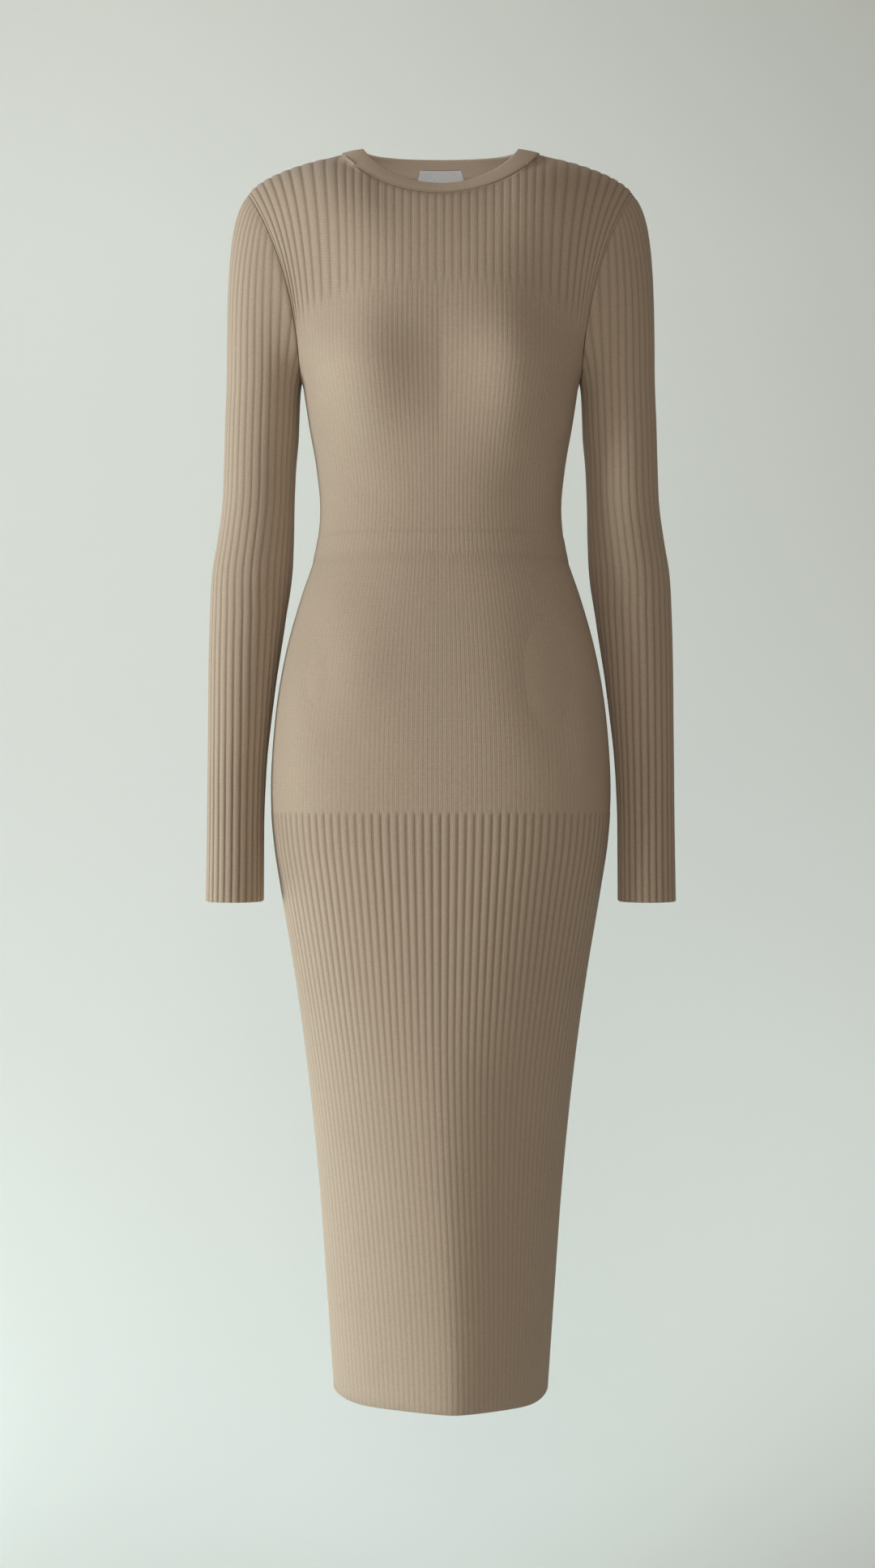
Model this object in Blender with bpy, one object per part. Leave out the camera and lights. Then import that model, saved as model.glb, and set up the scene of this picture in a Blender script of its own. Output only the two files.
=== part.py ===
"""Rib-knit sweater dress, hollow and filled out as it is worn.

Metres, +Z up.  The front faces -Y and the wearer's left is +X.  The origin lies midway between the
two points where the shoulders meet the neck, which is where the wearer holds the dress up.

The dress is cut in four knitted panels: a front, a back and two set-in sleeves.  A narrow band
closes the neck and a small woven label is sewn inside the back.  Each panel is a wall of cloth.
Its outer face is worked out from the section table below, and its inner face is the outer one moved
in by the thickness of the cloth.
"""
from collections import namedtuple

import bpy
import numpy as np

# ------------------------------------------------------------------------------------------------
# Driving dimensions
# ------------------------------------------------------------------------------------------------
CLOTH = 0.0020              # thickness of the ribbed knit
SEAM_GAP = 0.0003           # clearance between two pieces that are sewn together
NECK_GAP = 0.00040          # the same where the seam's two edges bend, before they are faceted
ARMHOLE_GAP = 0.00064
HEM_DIP = 0.0015            # how much lower the hem hangs at the middle of each panel
UNDERARM_X = 0.1375         # half width of the body at the underarm point
UNDERARM_Z = -0.2290
SHOULDER_X = 0.1905         # half width across the shoulder tips
SHOULDER_Z = -0.0445
SHOULDER_BACK = 0.0040      # how far the shoulder tip lies behind the side seam's plane
ARMHOLE_FRONT = 0.0560      # how far the armhole swings forward
ARMHOLE_BACK = 0.0620       # and backward
NECK_X = 0.0975             # half width of the seam between panels and neckband
NECK_FRONT_Y = -0.0780
NECK_FRONT_Z = -0.0630
NECK_SIDE_Z = -0.0042
NECK_BACK_Y = 0.0780
NECK_BACK_Z = -0.0082
NECK_SHARE = 0.50           # share of a panel's columns that end at the neck
NECK_SQUARE = 0.75          # power of cos that squares the front of the neck a little
NECK_FALL_FRONT = 1.35      # powers of cos by which the neck falls in front and behind
NECK_FALL_BACK = 1.20
NECK_STEP = 0.01            # half the step, in radians, over which the neck seam's run is taken
NECK_LEAN = 58.0            # degrees a panel still climbs where it ends at its middle,
CORNER_LEAN = (14.0, 6.0)   # where the shoulder seam meets the neck, front and back,
TIP_LEAN = (2.0, 8.0)       # and at the shoulder tip
END_PULL = (0.165, 0.140)   # length of the end slope at the middle and over the shoulder, and the
PULL_REACH = 0.80           # reach by which it has changed from one to the other
SHOULDER_START = (0.130, 0.0, -0.030)       # slopes of the shoulder seam at the neck and at the tip
SHOULDER_END = (0.040, -0.004, -0.058)
CHEST_ROUND = 2.2           # power by which the chest falls back from its middle to the armholes,
CHEST_FROM = 0.45           # and the shares of its height where that is in full and starts to fade
CHEST_TO = 0.50
ARMHOLE_PULL = (1.4, 4.0, 4.0)      # powers of the reach by which columns lean over to the armhole
SHOULDER_TILT = 0.15        # how far the cut edge at the shoulder leans back, as a share of upright
BAND_RISE_FRONT = 0.0125    # height, and below it depth, that the band gains in front, side, back
BAND_RISE_SIDE = 0.0045
BAND_RISE_BACK = 0.0180
BAND_DEPTH_FRONT = 0.0130
BAND_DEPTH_SIDE = 0.0210
BAND_DEPTH_BACK = 0.0110
BAND_SWELL = 0.0012         # how far the band bows outwards between its edges
BUST_PROUD = 0.0175         # a general figure's bust, as the cloth lies over it
BUST_X = 0.0760
BUST_Z = -0.2300
BUST_WIDE = 0.0440
BUST_TALL = 0.0560
BUST_FADE = 6.0             # power of the reach by which it dies away before the side seam
RIDGE_ASIDE = 0.0120        # how far the front's ridge hangs to the wearer's left at the hem
RIDGE_TOP = -0.8500         # height at which it has come back to the middle
LABEL_WIDTH = 0.0480
LABEL_HEIGHT = 0.0180
LABEL_DROP = 0.0100         # distance of the label's top below the band's free edge
LABEL_CLEAR = 0.0010        # room between the curved cloth and the flatter label
LABEL_THICK = 0.0006

# Horizontal sections of the body, from the hem to the underarm.
Section = namedtuple("Section", "height half_width front_depth back_depth squareness")
BODY_SECTIONS = (
    Section(-1.2200, 0.1060, 0.0955, 0.0900, 1.48),     # hem, with a soft ridge down its middle
    Section(-1.1310, 0.1120, 0.0965, 0.0945, 1.54),
    Section(-1.0000, 0.1215, 0.0985, 0.1010, 1.68),
    Section(-0.8900, 0.1332, 0.1005, 0.1075, 1.86),     # knee
    Section(-0.8100, 0.1440, 0.1030, 0.1135, 2.10),
    Section(-0.7300, 0.1570, 0.1055, 0.1195, 2.30),
    Section(-0.6830, 0.1640, 0.1070, 0.1220, 2.45),
    Section(-0.6350, 0.1670, 0.1075, 0.1230, 2.50),     # hip, where the wide ribs of the skirt start
    Section(-0.5870, 0.1650, 0.1065, 0.1200, 2.50),
    Section(-0.5390, 0.1600, 0.1040, 0.1140, 2.45),
    Section(-0.4910, 0.1510, 0.0990, 0.1050, 2.40),
    Section(-0.4430, 0.1375, 0.0925, 0.0935, 2.35),
    Section(-0.4030, 0.1245, 0.0860, 0.0840, 2.30),
    Section(-0.3590, 0.1188, 0.0825, 0.0795, 2.25),     # waist
    Section(-0.3150, 0.1225, 0.0860, 0.0820, 2.25),
    Section(-0.2700, 0.1302, 0.0930, 0.0880, 2.30),     # under the bust
    Section(UNDERARM_Z, 0.1363, 0.0985, 0.0935, 2.35),
)

# Rings of a sleeve, from the armhole to the cuff: its innermost and outermost points, and how far it
# reaches in front of and behind its middle.
Ring = namedtuple("Ring", "inner_x inner_z outer_x outer_z front back middle_y")
SLEEVE_RINGS = (
    Ring(UNDERARM_X, UNDERARM_Z, SHOULDER_X, SHOULDER_Z, ARMHOLE_FRONT, ARMHOLE_BACK, 0.000),
    Ring(0.1382, -0.2315, 0.1972, -0.0555, 0.0555, 0.0605, 0.000),
    Ring(0.1385, -0.2345, 0.2025, -0.0700, 0.0545, 0.0590, 0.001),
    Ring(0.1388, -0.2380, 0.2063, -0.0900, 0.0530, 0.0570, 0.002),
    Ring(0.1391, -0.2425, 0.2090, -0.1170, 0.0510, 0.0545, 0.003),
    Ring(0.1394, -0.2480, 0.2105, -0.1500, 0.0490, 0.0515, 0.004),
    Ring(0.1397, -0.2560, 0.2112, -0.1880, 0.0470, 0.0490, 0.005),
    Ring(0.1402, -0.2680, 0.2116, -0.2290, 0.0455, 0.0470, 0.006),
    Ring(0.1410, -0.2860, 0.2132, -0.2700, 0.0445, 0.0455, 0.007),
    Ring(0.1436, -0.3140, 0.2144, -0.3100, 0.0440, 0.0445, 0.008),
    Ring(0.1452, -0.3500, 0.2162, -0.3500, 0.0440, 0.0440, 0.009),
    Ring(0.1458, -0.3850, 0.2208, -0.3850, 0.0445, 0.0440, 0.009),     # elbow
    Ring(0.1474, -0.4200, 0.2262, -0.4200, 0.0440, 0.0435, 0.007),
    Ring(0.1536, -0.4640, 0.2281, -0.4640, 0.0420, 0.0415, 0.004),
    Ring(0.1604, -0.5100, 0.2288, -0.5100, 0.0395, 0.0390, 0.000),
    Ring(0.1665, -0.5570, 0.2288, -0.5570, 0.0370, 0.0365, -0.004),
    Ring(0.1712, -0.6050, 0.2288, -0.6050, 0.0345, 0.0340, -0.008),
    Ring(0.1735, -0.6530, 0.2288, -0.6530, 0.0325, 0.0320, -0.012),
    Ring(0.1737, -0.7000, 0.2292, -0.7000, 0.0315, 0.0310, -0.015),
    Ring(0.1737, -0.7400, 0.2297, -0.7400, 0.0310, 0.0305, -0.017),    # cuff
)
FAN_RINGS = 9               # the rings that still fan out from the armhole
RIB_CROWDING = 0.5          # how far the sleeve's ribs crowd up towards the shoulder tip

# Size of the facets.  A panel's columns are closer together at the side of the neck; sleeves have
# twice ABOVE cells round.
HALF_ACROSS = (0.0, 0.11, 0.22, 0.32, 0.40, 0.46, NECK_SHARE, 0.60, 0.70, 0.80, 0.90, 1.0)
BELOW = 15
ABOVE = 12
BAND_CELLS = 2
FINE_ACROSS = 201           # the panel above the underarm is worked out on a finer grid than it is
FINE_ABOVE = 3              # built on, and its columns eased into each other near the neck's corners
EASINGS = 83
EASING = 0.8                # share of the way to the neighbours' mean that each easing moves a point,
EASE_WIDE = 0.10            # the reach either side of the corner, and the share of the height that
EASE_UP = 0.30              # is passed before it acts in full
LOOP_STEPS = 241            # points in which half a body section is measured out
UNDER_STEP = 0.02           # height over which the slope at the underarm is taken

LOOSE_EDGE = 0.0004         # extra that the inner faces of sleeves and band stand back at a seam
FRONT, BACK = -1, 1


# ------------------------------------------------------------------------------------------------
# Shared arithmetic
# ------------------------------------------------------------------------------------------------
def smooth(low, high, value):
    """Smooth step: 0 below low, 1 above high, 3t^2 - 2t^3 between."""
    t = np.clip((value - low) / (high - low), 0.0, 1.0)
    return t * t * (3.0 - 2.0 * t)


def unit(vectors):
    """Vectors divided by their lengths."""
    return vectors / np.linalg.norm(vectors, axis=-1, keepdims=True)


def through(knots, rows, wanted):
    """Cubic Hermite curve through table rows, with each knot's slope taken from its neighbours."""
    rows = np.asarray(rows, float)
    slopes = np.gradient(rows, knots, axis=0)
    i = np.clip(np.searchsorted(knots, wanted, side="right") - 1, 0, len(knots) - 2)
    span = (knots[i + 1] - knots[i])[:, None]
    t = (wanted - knots[i])[:, None] / span
    return ((2 * t**3 - 3 * t**2 + 1) * rows[i] + (t**3 - 2 * t**2 + t) * span * slopes[i]
            + (3 * t**2 - 2 * t**3) * rows[i + 1] + (t**3 - t**2) * span * slopes[i + 1])


def hermite(start, start_slope, end, end_slope, t):
    """Cubic Hermite curve between two points with given slopes."""
    return ((2 * t**3 - 3 * t**2 + 1) * start + (t**3 - 2 * t**2 + t) * start_slope
            + (3 * t**2 - 2 * t**3) * end + (t**3 - t**2) * end_slope)


# ------------------------------------------------------------------------------------------------
# Seam lines
# ------------------------------------------------------------------------------------------------
def armhole(side, turn):
    """Armhole edge of a panel, from the underarm (turn 0) to the shoulder tip (turn 1).

    The angle runs ahead of the turn so that the sleeve's ribs crowd up to the tip.  Height rises
    as half of 1 - cos, depth swings out as sin, and the half width grows as a power of the height.
    """
    angle = np.pi * turn + RIB_CROWDING * np.sin(np.pi * turn)
    rise = (1 - np.cos(angle)) / 2
    power, swing = (2.0, -ARMHOLE_FRONT) if side == FRONT else (1.6, ARMHOLE_BACK)
    x = UNDERARM_X + (SHOULDER_X - UNDERARM_X) * rise**power
    y = SHOULDER_BACK * rise + swing * np.sin(angle)
    z = UNDERARM_Z + (SHOULDER_Z - UNDERARM_Z) * rise
    return np.stack([x, y, z], axis=-1)


def neck_ring(angle, width, front_y, back_y, front_z, side_z, back_z):
    """Neck edge round the neck: angle 0 is the front centre, half a turn is the back centre."""
    c = np.cos(angle)
    ahead = np.clip(c, 0, None)
    behind = np.clip(-c, 0, None)
    x = width * np.sin(angle)
    y = front_y * ahead**NECK_SQUARE + back_y * behind
    z = (side_z + (front_z - side_z) * ahead**NECK_FALL_FRONT
         + (back_z - side_z) * behind**NECK_FALL_BACK)
    return np.stack([x, y, z], axis=-1)


def neck_seam(angle):
    """Seam between the panels and the neckband."""
    return neck_ring(angle, NECK_X, NECK_FRONT_Y, NECK_BACK_Y, NECK_FRONT_Z, NECK_SIDE_Z, NECK_BACK_Z)


def band_edge(angle):
    """Free upper edge of the neckband."""
    return neck_ring(angle, NECK_X - BAND_DEPTH_SIDE, NECK_FRONT_Y + BAND_DEPTH_FRONT,
                     NECK_BACK_Y - BAND_DEPTH_BACK, NECK_FRONT_Z + BAND_RISE_FRONT,
                     NECK_SIDE_Z + BAND_RISE_SIDE, NECK_BACK_Z + BAND_RISE_BACK)


def neck_normals(angle):
    """Outward directions square to the neck seam and to the band that rises from it."""
    run = neck_seam(angle + NECK_STEP) - neck_seam(angle - NECK_STEP)
    return unit(np.cross(run, band_edge(angle) - neck_seam(angle)))


def neck_angle(side, across):
    """Angle round the neck at which a column ends, so that the ribs stay upright and equally wide."""
    turn = np.arcsin(np.clip(across / NECK_SHARE, -1, 1))
    return turn if side == FRONT else np.pi - turn


def shoulder_seam(along):
    """Shoulder seam from the neck (0) to the tip (1), a cubic that steepens at the tip."""
    start = neck_seam(np.array([np.pi / 2]))[0]
    end = np.array([SHOULDER_X, SHOULDER_BACK, SHOULDER_Z])
    return hermite(start, np.array(SHOULDER_START), end, np.array(SHOULDER_END), along[:, None])


# ------------------------------------------------------------------------------------------------
# Panels
# ------------------------------------------------------------------------------------------------
def body_section(side, across, height):
    """Points of half a body section: a superellipse, walked in equal steps of its length.

    across is -1 to 1 from the right to the left side seam; height is an array.  Result: heights by
    columns by 3.
    """
    knots = np.array([row.height for row in BODY_SECTIONS])
    sizes = through(knots, BODY_SECTIONS, height)
    angle = np.linspace(-np.pi / 2, np.pi / 2, LOOP_STEPS)
    result = np.empty((len(height), len(across), 3))
    for i, (z, half_width, front, back, square) in enumerate(sizes):
        depth = front if side == FRONT else back
        x = half_width * np.sign(np.sin(angle)) * np.abs(np.sin(angle)) ** (2 / square)
        y = side * depth * np.abs(np.cos(angle)) ** (2 / square)
        length = np.concatenate([[0.0], np.cumsum(np.hypot(np.diff(x), np.diff(y)))])
        walk = (across + 1) / 2 * length[-1]
        result[i, :, 0] = np.interp(walk, length, x)
        result[i, :, 1] = np.interp(walk, length, y)
        result[i, :, 2] = z
    return result


def bust(points, across):
    """The front panel moved forward over the bust: two soft bell-shaped rises, none at the edges."""
    x, z = np.abs(points[..., 0]), points[..., 2]
    rise = np.exp(-((x - BUST_X) / BUST_WIDE) ** 2 - ((z - BUST_Z) / BUST_TALL) ** 2)
    moved = points.copy()
    moved[..., 1] -= BUST_PROUD * rise * (1 - np.abs(across) ** BUST_FADE)
    return moved


def eased(upper, reach, above):
    """A grid of points whose columns near the neck's corners are drawn between their neighbours."""
    settle = np.exp(-((reach - NECK_SHARE) / EASE_WIDE) ** 2) * smooth(0.0, EASE_UP, above)[:, None]
    settle = settle[1:-1, 1:-1, None]
    for _ in range(EASINGS):
        beside = (upper[1:-1, :-2] + upper[1:-1, 2:]) / 2
        upper[1:-1, 1:-1] += EASING * (beside - upper[1:-1, 1:-1]) * settle
    return upper


def chest(side):
    """Outer face of a panel from the underarm to its top, on the fine grid.

    Each column is a cubic from the underarm row to the neck or shoulder seam, and the outer columns
    lean over to follow the armhole edge.
    """
    across = np.linspace(-1, 1, FINE_ACROSS)
    above = np.linspace(0, 1, ABOVE * FINE_ABOVE + 1)
    base, under = body_section(side, across, np.array([UNDERARM_Z, UNDERARM_Z - UNDER_STEP]))
    reach = np.abs(across)
    top = neck_seam(neck_angle(side, across))
    on_shoulder = reach > NECK_SHARE
    seam = shoulder_seam((reach[on_shoulder] - NECK_SHARE) / (1 - NECK_SHARE))
    seam[:, 0] *= np.sign(across[on_shoulder])
    top[on_shoulder] = seam

    start_slope = (base - under) / UNDER_STEP * (top[:, 2] - base[:, 2])[:, None]
    corner, tip = CORNER_LEAN[side == BACK], TIP_LEAN[side == BACK]
    lean = np.radians(np.where(on_shoulder, corner + (tip - corner) * smooth(NECK_SHARE, 1, reach),
                               corner + (NECK_LEAN - corner) * (1 - (reach / NECK_SHARE) ** 3)))
    pull = END_PULL[0] + (END_PULL[1] - END_PULL[0]) * smooth(0.0, PULL_REACH, reach)
    end_slope = np.stack([np.zeros_like(pull), -side * np.cos(lean) * pull, np.sin(lean) * pull], axis=-1)

    angle = np.pi * above + RIB_CROWDING * np.sin(np.pi * above)
    t = (0.5 * above + 0.25 * (1 - np.cos(angle)))[:, None, None]
    upper = hermite(base, start_slope, top, end_slope, t)
    edge = armhole(side, above)[:, None, :]
    lean_over = reach[:, None] ** np.array(ARMHOLE_PULL)
    for end in (0, -1):
        sign = np.array([np.sign(across[end]), 1.0, 1.0])
        half = (np.sign(across) == np.sign(across[end]))[None, :, None]
        upper = upper + half * lean_over * (edge * sign - upper[:, [end], :])
    middle = upper[:, [len(across) // 2], 1]
    fall = np.abs(upper[..., 0] / upper[:, -1:, 0]) ** CHEST_ROUND
    even = middle + (edge[:, :, 1] - middle) * fall
    amount = (smooth(0.0, CHEST_FROM, t) * (1 - smooth(CHEST_TO, 1.0, t)))[..., 0]
    upper[..., 1] += amount * (even - upper[..., 1])
    return eased(upper, reach, above)


def panel(side, across):
    """Outer face of the front or back panel: body sections up to the underarm, the chest above it."""
    hem_z = BODY_SECTIONS[0].height
    below = np.linspace(0, 1, BELOW + 1)
    lower = body_section(side, across, hem_z + (UNDERARM_Z - hem_z) * below)
    if side == FRONT:
        half_width = np.abs(lower[:, -1:, 0])
        aside = RIDGE_ASIDE * smooth(RIDGE_TOP, hem_z, lower[..., 2])
        lower[..., 0] += aside * (1 - (lower[..., 0] / half_width) ** 2)
    lower[..., 2] -= HEM_DIP * np.cos(across * np.pi / 2) ** 2 * (1 - below[:, None]) ** 8
    column = np.rint((across + 1) / 2 * (FINE_ACROSS - 1)).astype(int)
    points = np.concatenate([lower[:-1], chest(side)[::FINE_ABOVE, column]])
    return bust(points, across) if side == FRONT else points


def grid_normals(points, wrap):
    """Unit normals of a grid of points from the differences between neighbours."""
    if wrap:
        around = np.roll(points, -1, axis=1) - np.roll(points, 1, axis=1)
    else:
        around = np.gradient(points, axis=1)
    return unit(np.cross(around, np.gradient(points, axis=0)))


def panel_wall(side):
    """Outer and inner faces of a panel, with its side and shoulder edges square to the seams."""
    across = np.concatenate([-np.array(HALF_ACROSS[:0:-1]), HALF_ACROSS])
    points = panel(side, across)
    normals = grid_normals(points, wrap=False) * -side
    for column in (0, -1):
        normals[:BELOW + 1, column, 1] = 0.0
    on_shoulder = np.abs(across) > NECK_SHARE
    normals[-1, on_shoulder, 1] = SHOULDER_TILT * np.abs(normals[-1, on_shoulder, 2])
    normals = unit(normals)
    normals[-1, ~on_shoulder] = neck_normals(neck_angle(side, across[~on_shoulder]))
    points[..., 1] += side * SEAM_GAP / 2
    return points, points - CLOTH * normals


# ------------------------------------------------------------------------------------------------
# Sleeves and neckband
# ------------------------------------------------------------------------------------------------
def sleeve(around, along):
    """Outer face of the left sleeve, rows by columns by 3.

    around is -1 to 1: 0 is the underarm line, 1 and -1 the outermost line, front first.  along is a
    ring number.  A ring is an ellipse between its innermost and outermost points; the first rings
    also bow inwards as the armhole does.
    """
    knots = np.arange(len(SLEEVE_RINGS), dtype=float)
    sizes = through(knots, SLEEVE_RINGS, along)
    inner_x, inner_z, outer_x, outer_z, front, back, middle_y = (c[:, None] for c in sizes.T)
    fan = 1 - smooth(0, FAN_RINGS, along)[:, None]
    turn = np.pi * np.abs(around)[None, :]
    angle = turn + RIB_CROWDING * fan * np.sin(turn)
    rise = (1 - np.cos(angle)) / 2
    ahead = (around > 0)[None, :]
    bow = fan ** 3 * (rise ** np.where(ahead, 2.0, 1.6) - rise)
    x = inner_x + (outer_x - inner_x) * (rise + bow)
    z = inner_z + (outer_z - inner_z) * rise
    y = middle_y + SHOULDER_BACK * fan * rise + np.where(ahead, -front, back) * np.sin(angle)
    return np.stack([x, y, z], axis=-1)


def sleeve_wall(hand):
    """Outer and inner faces of a sleeve; hand 1 is the wearer's left, -1 the right."""
    around = np.linspace(0, 2, 2 * ABOVE + 1)[:-1]
    around = np.where(around > 1, around - 2, around)
    along = np.arange(len(SLEEVE_RINGS), dtype=float)
    points = sleeve(around, along)
    across_armhole = unit(np.array([SHOULDER_Z - UNDERARM_Z, 0.0, UNDERARM_X - SHOULDER_X]))
    points = points + ARMHOLE_GAP * across_armhole * (along == 0)[:, None, None]
    normals = -grid_normals(points, wrap=True)
    inner = points - CLOTH * normals
    inner[0] += LOOSE_EDGE * across_armhole
    mirror = np.array([hand, 1.0, 1.0])
    return points * mirror, inner * mirror


def band_angles():
    """Angles round the neck at the ends of the panels' columns, one turn."""
    ends = np.array(HALF_ACROSS[:HALF_ACROSS.index(NECK_SHARE) + 1])
    across = np.concatenate([-ends[:0:-1], ends])
    front = neck_angle(FRONT, across)
    back = neck_angle(BACK, across[::-1])
    return np.concatenate([front, back[1:-1]])


def band_wall():
    """Outer and inner faces of the neckband."""
    angle = band_angles()
    low, high = neck_seam(angle), band_edge(angle)
    lift = unit(high - low)
    low = low + NECK_GAP * lift
    share = np.linspace(0, 1, BAND_CELLS + 1)[:, None, None]
    points = low + (high - low) * share
    normals = grid_normals(points, wrap=True)
    normals[0] = neck_normals(angle)
    points = points + BAND_SWELL * np.sin(np.pi * share) * normals
    inner = points - CLOTH * normals
    inner[0] += LOOSE_EDGE * lift
    return points, inner


# ------------------------------------------------------------------------------------------------
# Solids
# ------------------------------------------------------------------------------------------------
def wall_mesh(name, outer, inner, wrap):
    """Closed mesh between two grids of points; wrap joins the last column to the first."""
    rows, columns = outer.shape[:2]
    index = np.arange(rows * columns).reshape(rows, columns)
    if wrap:
        index = np.concatenate([index, index[:, :1]], axis=1)
    far = index + rows * columns
    quads = [np.stack([index[:-1, :-1], index[:-1, 1:], index[1:, 1:], index[1:, :-1]], -1),
             np.stack([far[:-1, :-1], far[1:, :-1], far[1:, 1:], far[:-1, 1:]], -1),
             np.stack([index[0, 1:], index[0, :-1], far[0, :-1], far[0, 1:]], -1),
             np.stack([index[-1, :-1], index[-1, 1:], far[-1, 1:], far[-1, :-1]], -1)]
    if not wrap:
        quads += [np.stack([index[:-1, 0], index[1:, 0], far[1:, 0], far[:-1, 0]], -1),
                  np.stack([index[1:, -1], index[:-1, -1], far[:-1, -1], far[1:, -1]], -1)]
    faces = np.concatenate([q.reshape(-1, 4) for q in quads])
    corners = np.concatenate([outer.reshape(-1, 3), inner.reshape(-1, 3)])
    mesh = bpy.data.meshes.new(name)
    mesh.from_pydata(corners.tolist(), [], faces.tolist())
    mesh.validate()
    return mesh


def outward(mesh):
    """Turn the faces of a closed mesh outwards if its signed volume is negative."""
    mesh.calc_loop_triangles()
    corners = np.array([v.co[:] for v in mesh.vertices])
    t = corners[np.array([tri.vertices[:] for tri in mesh.loop_triangles])]
    if np.einsum("ij,ij->i", t[:, 0], np.cross(t[:, 1], t[:, 2])).sum() < 0:
        mesh.flip_normals()


def material(name, colour, roughness):
    """Plain dielectric material of one colour."""
    made = bpy.data.materials.new(name)
    made.use_nodes = True
    shader = made.node_tree.nodes["Principled BSDF"]
    shader.inputs["Base Color"].default_value = (*colour, 1.0)
    shader.inputs["Roughness"].default_value = roughness
    shader.inputs["Metallic"].default_value = 0.0
    return made


def add(name, mesh, finish):
    """One named solid with its material, shaded smooth."""
    outward(mesh)
    mesh.shade_smooth()
    mesh.materials.append(finish)
    bpy.context.scene.collection.objects.link(bpy.data.objects.new(name, mesh))


def label_wall():
    """The woven label: the inner face of the back neckband, followed down past its seam, moved in."""
    across = np.linspace(-1, 1, 5) * LABEL_WIDTH / 2
    angle = np.pi - np.arcsin(across / NECK_X)
    low, high = neck_seam(angle), band_edge(angle)
    fall = unit(low - high)
    share = np.linspace(0, 1, 3)[:, None, None]
    face = high + fall * (LABEL_DROP + LABEL_HEIGHT * share)
    inward = unit(np.cross(fall, np.array([1.0, 0.0, 0.0])))
    inward = inward * -np.sign(inward[..., 1:2])
    near = face + (CLOTH + LABEL_CLEAR) * inward
    return near, near + LABEL_THICK * inward


for old in list(bpy.data.objects):
    bpy.data.objects.remove(old)

knit = material("taupe_rib_knit", (0.45, 0.36, 0.27), 0.9)
band = material("plain_neckband_knit", (0.43, 0.34, 0.25), 0.9)
woven = material("woven_label", (0.72, 0.72, 0.70), 0.8)

for piece, side in (("front", FRONT), ("back", BACK)):
    add(piece, wall_mesh(piece, *panel_wall(side), wrap=False), knit)
for piece, hand in (("sleeve_left", 1), ("sleeve_right", -1)):
    add(piece, wall_mesh(piece, *sleeve_wall(hand), wrap=True), knit)
add("neckband", wall_mesh("neckband", *band_wall(), wrap=True), band)
add("neck_label", wall_mesh("neck_label", *label_wall(), wrap=False), woven)
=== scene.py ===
"""Rib-knit sweater dress: its cloth, seams and label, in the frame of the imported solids.

Metres, +Z up.  The front faces -Y and the wearer's left is +X.
"""

from collections import namedtuple

import bpy
import numpy as np
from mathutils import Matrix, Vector


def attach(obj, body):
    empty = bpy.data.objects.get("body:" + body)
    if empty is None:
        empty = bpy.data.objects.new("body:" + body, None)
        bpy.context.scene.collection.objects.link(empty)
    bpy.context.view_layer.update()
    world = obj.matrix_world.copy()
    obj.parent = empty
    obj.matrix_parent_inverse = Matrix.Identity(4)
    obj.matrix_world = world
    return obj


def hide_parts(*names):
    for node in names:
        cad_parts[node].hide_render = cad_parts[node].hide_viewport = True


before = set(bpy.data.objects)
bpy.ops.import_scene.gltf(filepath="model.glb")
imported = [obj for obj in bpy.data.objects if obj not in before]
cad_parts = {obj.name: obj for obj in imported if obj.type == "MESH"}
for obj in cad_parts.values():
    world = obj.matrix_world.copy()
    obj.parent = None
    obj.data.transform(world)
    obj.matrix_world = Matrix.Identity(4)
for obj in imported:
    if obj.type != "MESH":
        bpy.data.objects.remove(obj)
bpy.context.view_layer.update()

# ================================================================================================
# Front and back panels.  Each is one piece of soft rib knit, wool-like, shaped by the machine as it
# is knitted: wide ribs in the yoke, fine ribs to the hip with a waist band knitted in, and wide ribs
# again in the skirt.  They are linked to each other at the sides and along the shoulders.
# ================================================================================================
FRONT, BACK = -1, 1
CLOTH = 0.0020              # thickness of the knit
SEAM_GAP = 0.0003
HEM_DIP = 0.0015            # how much lower the hem hangs at the middle of a panel,
HEM_HANG = 0.0060           # and at most between the middle and the side
HANG_POWER = 2.2            # larger puts that lowest place nearer the side
HEM_FADE = 8                # larger keeps it all nearer the hem
UNDERARM = (0.1375, -0.2290)            # half width and height
SHOULDER_TIP = (0.1905, 0.0040, -0.0445)
ARMHOLE_SWING = {FRONT: -0.0560, BACK: 0.0620}
ARMHOLE_POWER = {FRONT: 2.0, BACK: 1.6}
NECK_X = 0.0975
NECK_FRONT = (-0.0780, -0.0630)         # depth and height of the neck seam in front
NECK_BACK = (0.0780, -0.0082)
NECK_SIDE_Z = -0.0042
NECK_POWERS = (0.75, 1.35, 1.2)         # of cos: depth in front, height in front, height behind
NECK_SHARE = 0.50           # share of a panel's half width that ends at the neck
SHOULDER_LEAVES = (0.130, 0.0, -0.030)  # slopes of the shoulder seam at the neck and at the tip
SHOULDER_ENDS = (0.040, -0.004, -0.058)
RIDGE_ASIDE = 0.0120        # how far the front's ridge hangs to the wearer's left at the hem
RIDGE_TOP = -0.8500
RIDGE_EASINGS = 45          # passes that round the ridge over,
RIDGE_REACH = 0.6           # and the share of the half width that they cover
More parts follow.
